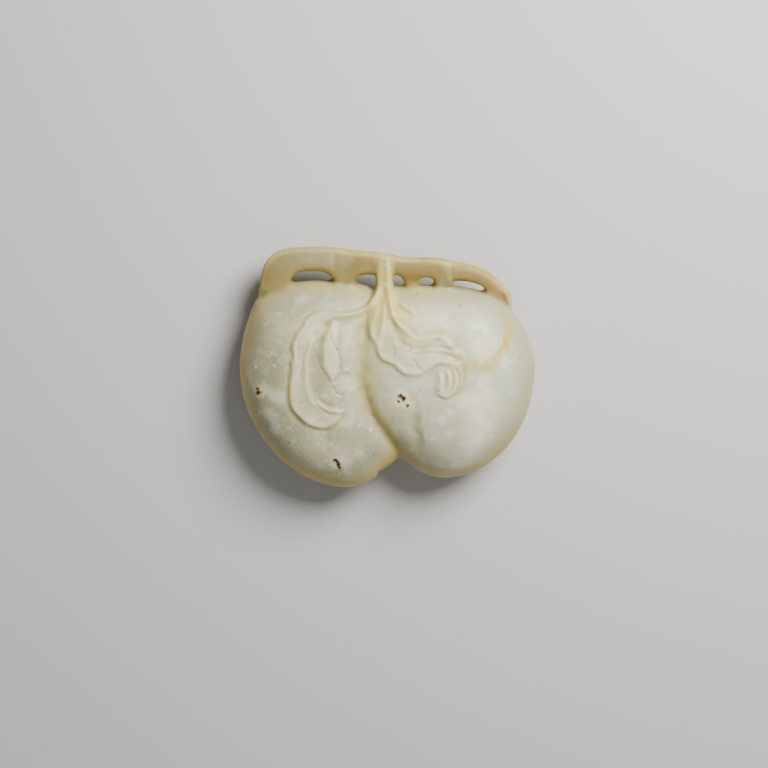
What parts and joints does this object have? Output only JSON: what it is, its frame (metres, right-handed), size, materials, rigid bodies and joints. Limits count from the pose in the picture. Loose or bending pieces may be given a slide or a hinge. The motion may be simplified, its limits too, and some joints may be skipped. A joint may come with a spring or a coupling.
{
  "type": "jade carving",
  "caption": "Hand-sized pale jade carving of paired peaches hanging from an openwork branch, with leaves in relief; an ornament that lies on its back.",
  "frame": {"origin": "middle of the carving's plan, at the height of the two flat spots that it lies on", "axes": "+X across both peaches, from the peach with the long leaf to the peach with the curled one; +Y from the peaches towards the branch; +Z out of the carved front"},
  "size_m": [0.062, 0.05, 0.0188],
  "materials": {
    "jade": "softly polished pale grey-green nephrite, yellow-brown at the branch, rims and carved lines"
  },
  "bodies": {
    "root": {"peach_carving": "jade"}
  },
  "joints": []
}
